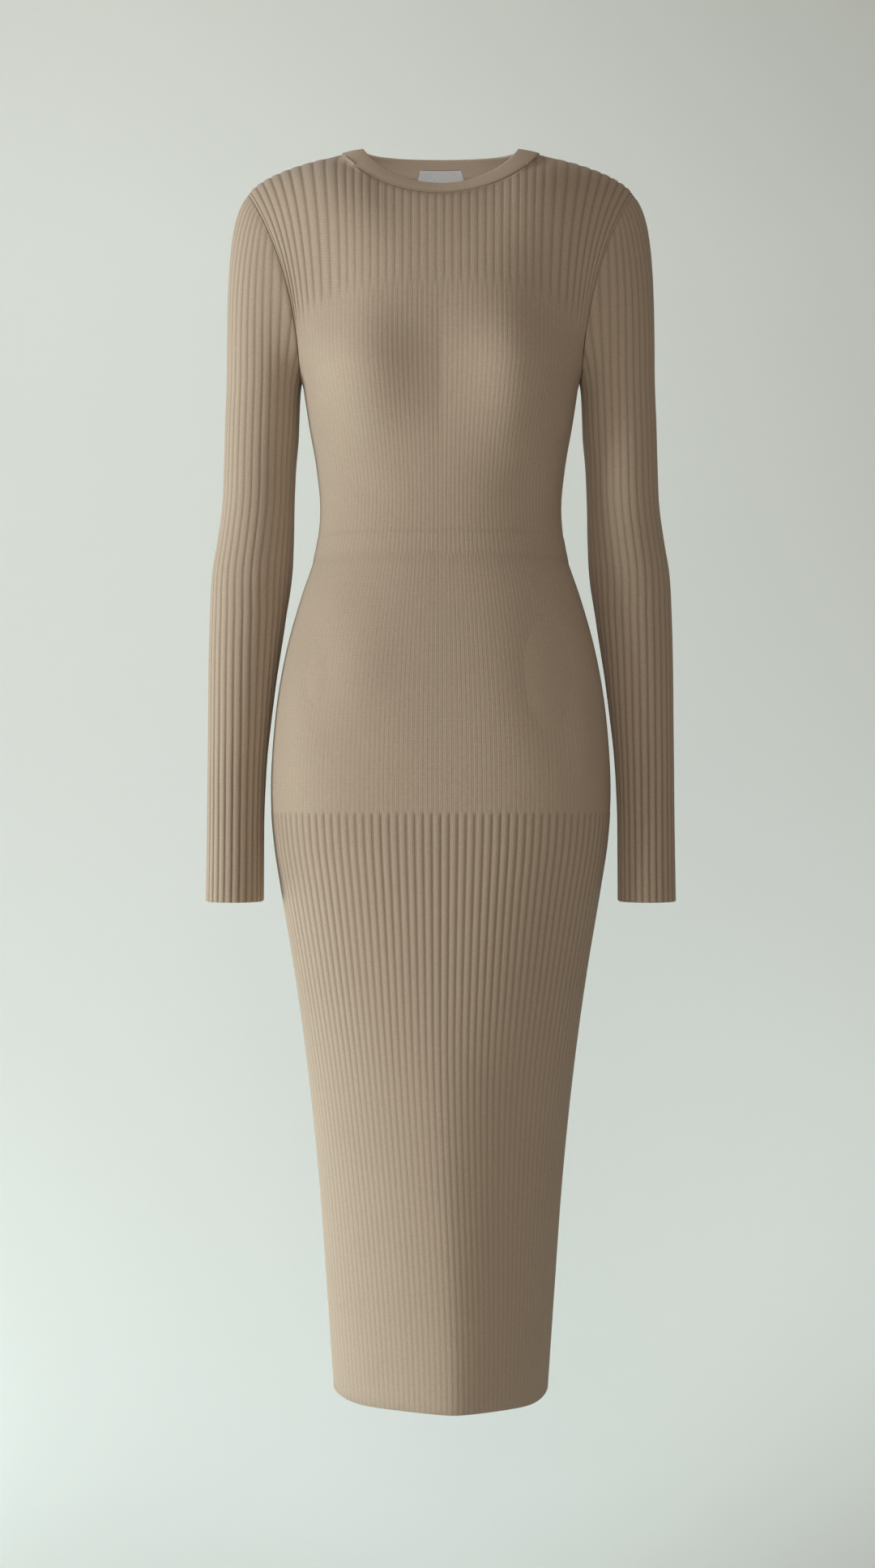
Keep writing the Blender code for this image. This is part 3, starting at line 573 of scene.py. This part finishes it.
# ================================================================================================
# Sleeves.  Two tubes of the same knit in wide ribs, each closed by a seam under the arm and set into
# its armhole.  The ribs run down along the outside of the arm and end in the underarm seam.
# ================================================================================================
Ring = namedtuple("Ring", "inner_x inner_z outer_x outer_z front back middle_y")
SLEEVE_RINGS = (
    Ring(*UNDERARM, SHOULDER_TIP[0], SHOULDER_TIP[2], -ARMHOLE_SWING[FRONT], ARMHOLE_SWING[BACK], 0.000),
    Ring(0.1382, -0.2315, 0.1972, -0.0555, 0.0555, 0.0605, 0.000),
    Ring(0.1385, -0.2345, 0.2025, -0.0700, 0.0545, 0.0590, 0.001),
    Ring(0.1388, -0.2380, 0.2063, -0.0900, 0.0530, 0.0570, 0.002),
    Ring(0.1391, -0.2425, 0.2090, -0.1170, 0.0510, 0.0545, 0.003),
    Ring(0.1394, -0.2480, 0.2105, -0.1500, 0.0490, 0.0515, 0.004),
    Ring(0.1397, -0.2560, 0.2112, -0.1880, 0.0470, 0.0490, 0.005),
    Ring(0.1402, -0.2680, 0.2116, -0.2290, 0.0455, 0.0470, 0.006),
    Ring(0.1410, -0.2860, 0.2132, -0.2700, 0.0445, 0.0455, 0.007),
    Ring(0.1436, -0.3140, 0.2144, -0.3100, 0.0440, 0.0445, 0.008),
    Ring(0.1452, -0.3500, 0.2162, -0.3500, 0.0440, 0.0440, 0.009),
    Ring(0.1458, -0.3850, 0.2208, -0.3850, 0.0445, 0.0440, 0.009),     # elbow
    Ring(0.1474, -0.4200, 0.2262, -0.4200, 0.0440, 0.0435, 0.007),
    Ring(0.1536, -0.4640, 0.2281, -0.4640, 0.0420, 0.0415, 0.004),
    Ring(0.1604, -0.5100, 0.2288, -0.5100, 0.0395, 0.0390, 0.000),
    Ring(0.1665, -0.5570, 0.2288, -0.5570, 0.0370, 0.0365, -0.004),
    Ring(0.1712, -0.6050, 0.2288, -0.6050, 0.0345, 0.0340, -0.008),
    Ring(0.1735, -0.6530, 0.2288, -0.6530, 0.0325, 0.0320, -0.012),
    Ring(0.1737, -0.7000, 0.2292, -0.7000, 0.0315, 0.0310, -0.015),
    Ring(0.1737, -0.7400, 0.2297, -0.7400, 0.0310, 0.0305, -0.017),    # cuff
)
FAN_RINGS = 9               # the rings that still fan out from the armhole
FAN_ROW = 45                # the row of the face that lies on the last of them
BOW_POWER = 3               # how soon the armhole's bow is lost below it
RING_GAP = 0.00042          # gap between a panel's edge and the sleeve or band set into it
SLEEVE_COLUMNS = 400
SLEEVE_ROWS = np.concatenate([np.linspace(0, FAN_RINGS, FAN_ROW + 1)[:-1],
                              np.linspace(FAN_RINGS, len(SLEEVE_RINGS) - 1, 76)])
WALES_PER_SLEEVE = 150

# Width of one rib of the sleeve by height, and how deep its groove is there.
RibWidth = namedtuple("RibWidth", "height width depth")
SLEEVE_RIBS = (
    RibWidth(-0.740, 0.0071, 0.0013), RibWidth(-0.667, 0.0072, 0.0014), RibWidth(-0.619, 0.0074, 0.0014),
    RibWidth(-0.571, 0.0077, 0.0012), RibWidth(-0.507, 0.0080, 0.0011), RibWidth(-0.459, 0.0082, 0.0010),
    RibWidth(-0.411, 0.0081, 0.0008), RibWidth(-0.347, 0.0079, 0.0007), RibWidth(-0.299, 0.0078, 0.0008),
    RibWidth(-0.251, 0.0077, 0.0010),
)
SLEEVE_FLATNESS = 2.6


def sleeve_face(around, along):
    """Outer face of the left sleeve: each ring an ellipse between its innermost and outermost points,
    the first rings bowed inwards as the armhole is.  around 0 is the underarm, 1 the outermost line."""
    sizes = through(np.arange(len(SLEEVE_RINGS), dtype=float), SLEEVE_RINGS, along)
    inner_x, inner_z, outer_x, outer_z, front, back, middle_y = (c[:, None] for c in sizes.T)
    fan = 1 - smooth(0, FAN_RINGS, along)[:, None]
    turn = np.pi * np.abs(around)[None, :]
    angle = turn + RIB_CROWDING * fan * np.sin(turn)
    rise = (1 - np.cos(angle)) / 2
    ahead = (around > 0)[None, :]
    bow = fan ** BOW_POWER * (rise ** np.where(ahead, ARMHOLE_POWER[FRONT], ARMHOLE_POWER[BACK]) - rise)
    return np.stack([inner_x + (outer_x - inner_x) * (rise + bow),
                     middle_y + SHOULDER_TIP[1] * fan * rise + np.where(ahead, -front, back) * np.sin(angle),
                     inner_z + (outer_z - inner_z) * rise], axis=-1)


around = np.linspace(0, 2, SLEEVE_COLUMNS + 1)[:-1]
around = np.where(around > 1, around - 2, around)
face = sleeve_face(around, SLEEVE_ROWS)
across_armhole = unit(np.array([SHOULDER_TIP[2] - UNDERARM[1], 0.0, UNDERARM[0] - SHOULDER_TIP[0]]))
face += RING_GAP * across_armhole * (SLEEVE_ROWS == 0)[:, None, None]
normals = -grid_normals(face, wrap=True)
walk = np.cumsum(np.linalg.norm(np.diff(face, axis=1, prepend=face[:, -1:]), axis=-1), axis=1)
from_outer = walk - walk[:, [SLEEVE_COLUMNS // 2]]

# Ribs are counted by the length walked round the tube from its outermost line.  Above FAN_ROW, a
# point takes the walk of the point of that row that faces the same way, so the ribs run up straight.
tube = np.array([[ring.outer_z, ring.outer_x, ring.middle_y] for ring in SLEEVE_RINGS[:FAN_RINGS + 1]])[::-1]
tube_half = (SLEEVE_RINGS[FAN_RINGS].outer_x - SLEEVE_RINGS[FAN_RINGS].inner_x) / 2
cap = face[:FAN_ROW + 1]
cap_out, cap_middle = (np.interp(cap[..., 2], tube[:, 0], tube[:, i]) for i in (1, 2))
ring_front, ring_back = through(np.arange(len(SLEEVE_RINGS), dtype=float), SLEEVE_RINGS,
                                SLEEVE_ROWS[:FAN_ROW + 1]).T[4:6, :, None]
sideways = (cap[..., 0] - (cap_out - tube_half)) / tube_half
forward = -(cap[..., 1] - cap_middle)
bearing = np.arctan2(forward / np.where(forward > 0, ring_front, ring_back), sideways)
ring_bearing, ring_walk = bearing[-1], from_outer[FAN_ROW]
order = np.argsort(ring_bearing)
from_outer[:FAN_ROW] = np.interp(bearing[:-1], ring_bearing[order], ring_walk[order])
below_fan = np.maximum(np.arange(len(SLEEVE_ROWS)), FAN_ROW)
heights = face[below_fan][:, SLEEVE_COLUMNS // 4, 2]
knots, widths, depths = np.array(SLEEVE_RIBS).T
width = np.interp(heights, knots, widths)[:, None]
depth = np.interp(heights, knots, depths)[:, None]
crown = rib(from_outer / width, SLEEVE_FLATNESS)
run = run_along(face[:, SLEEVE_COLUMNS // 2])
to_seam = np.minimum(run[:, None], np.minimum(walk, walk[:, -1:] - walk))
near_seam = np.exp(-(to_seam / SEAM_REACH) ** 2)
lift = depth * (crown - CROWN_MEAN) * (1 - near_seam) - SEAM_SINK * near_seam
# painted shade in the grooves of the sleeve's ribs
groove_shade = (1 - crown) * depth / FULL_GROOVE
outer = face + normals * lift[..., None]
inner = (face - CLOTH * normals)[::INNER_EVERY]
wales = np.linspace(0, WALES_PER_SLEEVE, SLEEVE_COLUMNS + 1)
for hand, sign in (("left", 1), ("right", -1)):
    mirror = np.array([sign, 1.0, 1.0])
    mesh = closed_wall(f"knit_sleeve_{hand}", outer * mirror, inner * mirror, (0.0, HEM_ROUND), wales,
                       run / COURSE, groove_shade, wrap=True)
    sleeve_piece = place(f"knit_sleeve_{hand}", mesh, rib_knit)
    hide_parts(f"sleeve_{hand}")

# ================================================================================================
# Neckband.  A narrow band of plain knit, linked to the panels' neck edge with its smooth side out
# and its fine ribs inside.  Its free edge is rounded.
# ================================================================================================
BAND_RISE = (0.0125, 0.0045, 0.0180)        # height the band gains in front, at the side, behind
BAND_DEPTH = (0.0130, 0.0210, 0.0110)       # and how far it stands in over the neck there
BAND_HEIGHT = 0.020         # about, up its face
BAND_ROUND = 0.0004         # how far the middle of the band swells out
BAND_LIP = 0.0006           # and how far its free edge rounds out
BAND_SINK, BAND_SEAM_REACH = 0.0001, 0.0022     # how far it is drawn in at its seam, how near to it
BAND_RIBS, BAND_FLATNESS = 170, 2.0
BAND_RIB_OUT, BAND_RIB_IN = 0.00008, 0.00035    # depth of its fine ribs on each face
BAND_SHADE, BAND_SEAM_SHADE = 0.08, 0.72        # painted groove shade all over it, and more at its seam
BAND_WALES, BAND_COURSES = 340, 12
BAND_COLUMNS, BAND_ROWS = 720, 13


def band_edge(angle):
    """Free upper edge of the neckband."""
    return neck_ring(angle, NECK_X - BAND_DEPTH[1],
                     (NECK_FRONT[0] + BAND_DEPTH[0], NECK_FRONT[1] + BAND_RISE[0]),
                     (NECK_BACK[0] - BAND_DEPTH[2], NECK_BACK[1] + BAND_RISE[2]),
                     NECK_SIDE_Z + BAND_RISE[1])


angle = np.linspace(0, 2 * np.pi, BAND_COLUMNS + 1)[:-1]
low, high = neck_seam(angle), band_edge(angle)
rise = unit(high - low)
share = np.linspace(0, 1, BAND_ROWS)[:, None, None]
face = low + RING_GAP * rise + (high - low - RING_GAP * rise) * share
normals = grid_normals(face, wrap=True)
face += BAND_ROUND * np.sin(np.pi * share) * normals
fine = rib(angle * BAND_RIBS / (2 * np.pi), BAND_FLATNESS)[None, :]
near_seam = np.exp(-(share[..., 0] * BAND_HEIGHT / BAND_SEAM_REACH) ** 2)
outer = face + normals * (BAND_RIB_OUT * fine - BAND_SINK * near_seam)[..., None]
inner = face - normals * (CLOTH + BAND_RIB_IN * fine)[..., None]
# painted shade over the band's fine ribs, darker along its seam
groove_shade = np.broadcast_to(BAND_SHADE + BAND_SEAM_SHADE * near_seam, (BAND_ROWS, BAND_COLUMNS))
band_mesh = closed_wall("knit_neckband", outer, inner, (0.0, BAND_LIP),
                        np.linspace(0, BAND_WALES, BAND_COLUMNS + 1), np.linspace(0, BAND_COURSES, BAND_ROWS),
                        groove_shade, wrap=True)
# The band is the same yarn as the panels; its lighter taupe is painted light, brightening the band and the
# inside of the neck.
BAND_TAUPE_LIGHTENED, BAND_GROOVE_SHADE_LIGHTENED = (0.56, 0.445, 0.335), (0.30, 0.215, 0.145)
BAND_BUMP = 0.30
band_knit_lightened = knit_material("neckband_knit", BAND_TAUPE_LIGHTENED, BAND_GROOVE_SHADE_LIGHTENED, BAND_BUMP, SHEEN)
band_piece = place("knit_band", band_mesh, band_knit_lightened)
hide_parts("neckband")

# ================================================================================================
# Label.  A small woven tape with folded ends, sewn by its top edge inside the back of the neckband.
# It is left bare.
# ================================================================================================
LABEL_WIDTH, LABEL_HEIGHT, LABEL_DROP = 0.0480, 0.0180, 0.0100
LABEL_CLEAR, LABEL_THICK, LABEL_ROUND = 0.0010, 0.0006, 0.0002      # gap to the band, tape, its edges
LABEL_WALES, LABEL_COURSES = 96, 60
LABEL_COLUMNS, LABEL_ROWS = 49, 19

aside = np.linspace(-1, 1, LABEL_COLUMNS) * LABEL_WIDTH / 2
angle = np.pi - np.arcsin(aside / NECK_X)
low, high = neck_seam(angle), band_edge(angle)
fall = unit(low - high)
share = np.linspace(0, 1, LABEL_ROWS)[:, None, None]
inward = unit(np.cross(fall, np.array([1.0, 0.0, 0.0])))
inward *= -np.sign(inward[..., 1:2])
near = high + fall * (LABEL_DROP + LABEL_HEIGHT * share) + (CLOTH + LABEL_CLEAR) * inward
far = near + LABEL_THICK * inward
label_mesh = closed_wall("woven_label", near, far[::INNER_EVERY], (LABEL_ROUND, LABEL_ROUND),
                         np.linspace(0, LABEL_WALES, LABEL_COLUMNS),
                         np.linspace(0, LABEL_COURSES, LABEL_ROWS),
                         np.zeros((LABEL_ROWS, LABEL_COLUMNS)), wrap=False)
# The label's white, and a painted groove shade colour that it never takes, its groove shade being zero
LABEL_WHITE, LABEL_WHITE_GROOVE_SHADE = (0.70, 0.72, 0.71), (0.5, 0.5, 0.48)
LABEL_BUMP, LABEL_SHEEN = 0.15, 0.0
woven = knit_material("woven_label", LABEL_WHITE, LABEL_WHITE_GROOVE_SHADE, LABEL_BUMP, LABEL_SHEEN)
label_piece = place("label", label_mesh, woven)
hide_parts("neck_label")

# ================================================================================================
# Studio.  A pale sweep of floor and wall with no line between them, and the camera straight in front.
# A large soft light stands at the left, a weak one in front and a small one inside the neck; three
# more light the wall and one the floor.
# ================================================================================================
FLOOR_DROP = 0.36           # from the hem to the floor
FLOOR_Z = HEM_Z - FLOOR_DROP
SWEEP_START, SWEEP_RADIUS, SWEEP_HALF = 0.6, 2.2, 6.0
SWEEP_FRONT, SWEEP_TOP, SWEEP_STEPS = -5.0, 7.0, 41
PAPER, PAPER_ROUGHNESS, PAPER_SHINE = (0.78, 0.80, 0.76, 1), 0.95, 0.1
AIR, AIR_STRENGTH = (1.0, 0.82, 0.665, 1), 0.165
CAMERA_AT = (-0.0032, -2.100, -0.6260)
LENS = 48.8

turn = np.linspace(0, np.pi / 2, SWEEP_STEPS)
depth = np.concatenate([[SWEEP_FRONT], SWEEP_START + SWEEP_RADIUS * np.sin(turn),
                        [SWEEP_START + SWEEP_RADIUS]])
rise = FLOOR_Z + np.concatenate([[0.0], SWEEP_RADIUS * (1 - np.cos(turn)), [SWEEP_TOP]])
profile = np.stack([np.zeros_like(depth), depth, rise], axis=-1)
sweep_points = np.stack([profile + [SWEEP_HALF * s, 0, 0] for s in (-1, 1)], axis=1)
count = len(profile)
quads = [(2 * i, 2 * i + 1, 2 * i + 3, 2 * i + 2) for i in range(count - 1)]
sweep_mesh = bpy.data.meshes.new("sweep")
sweep_mesh.from_pydata(sweep_points.reshape(-1, 3).tolist(), [], quads)
sweep_mesh.shade_smooth()
paper = bpy.data.materials.new("pale_paper")
paper.use_nodes = True
paper_shader = paper.node_tree.nodes["Principled BSDF"]
paper_shader.inputs["Base Color"].default_value = PAPER
paper_shader.inputs["Roughness"].default_value = PAPER_ROUGHNESS
paper_shader.inputs["Specular IOR Level"].default_value = PAPER_SHINE
sweep_mesh.materials.append(paper)
sweep = bpy.data.objects.new("sweep", sweep_mesh)
bpy.context.scene.collection.objects.link(sweep)


def soft_light(name, at, aim, size, power, colour):
    """Square area light at a point, turned to face another point."""
    data = bpy.data.lights.new(name, "AREA")
    data.shape, data.size, data.energy, data.color = "SQUARE", size, power, colour
    lamp = bpy.data.objects.new(name, data)
    lamp.location = at
    lamp.rotation_euler = (Vector(aim) - Vector(at)).to_track_quat("-Z", "Y").to_euler()
    bpy.context.scene.collection.objects.link(lamp)


soft_light("key", (-3.7, -1.30, -0.85), (0, 0, -0.65), 1.4, 108, (0.885, 0.975, 1.0))
soft_light("front", (-0.3, -3.6, 0.3), (0, 0, -0.3), 1.2, 28, (1.0, 0.96, 0.92))
soft_light("inside_neck", (0, -0.035, -0.095), (0, 0.075, 0.0), 0.05, 0.050, (0.95, 0.97, 1.0))
soft_light("wall_high", (-1.4, 0.6, 1.3), (0.7, 2.8, -0.2), 1.0, 15.5, (1.0, 1.0, 0.98))
soft_light("wall_low", (-1.4, 0.5, -1.2), (0.5, 2.0, -1.4), 0.8, 11.5, (0.80, 0.96, 1.0))
soft_light("wall_right", (0.9, 0.9, -0.4), (0.4, 2.6, -1.2), 0.9, 5.0, (0.84, 0.96, 1.0))
soft_light("floor", (0.03, 0.42, -0.80), (0.03, 1.25, -1.56), 0.22, 2.2, (0.78, 0.93, 1.0))

world = bpy.data.worlds.new("studio_air")
world.use_nodes = True
world.node_tree.nodes["Background"].inputs["Color"].default_value = AIR
world.node_tree.nodes["Background"].inputs["Strength"].default_value = AIR_STRENGTH
bpy.context.scene.world = world
bpy.context.scene.view_settings.view_transform = "Standard"

camera_data = bpy.data.cameras.new("camera")
camera_data.lens = LENS
camera = bpy.data.objects.new("camera", camera_data)
camera.location = CAMERA_AT
camera.rotation_euler = (np.pi / 2, 0, 0)
bpy.context.scene.collection.objects.link(camera)
bpy.context.scene.camera = camera
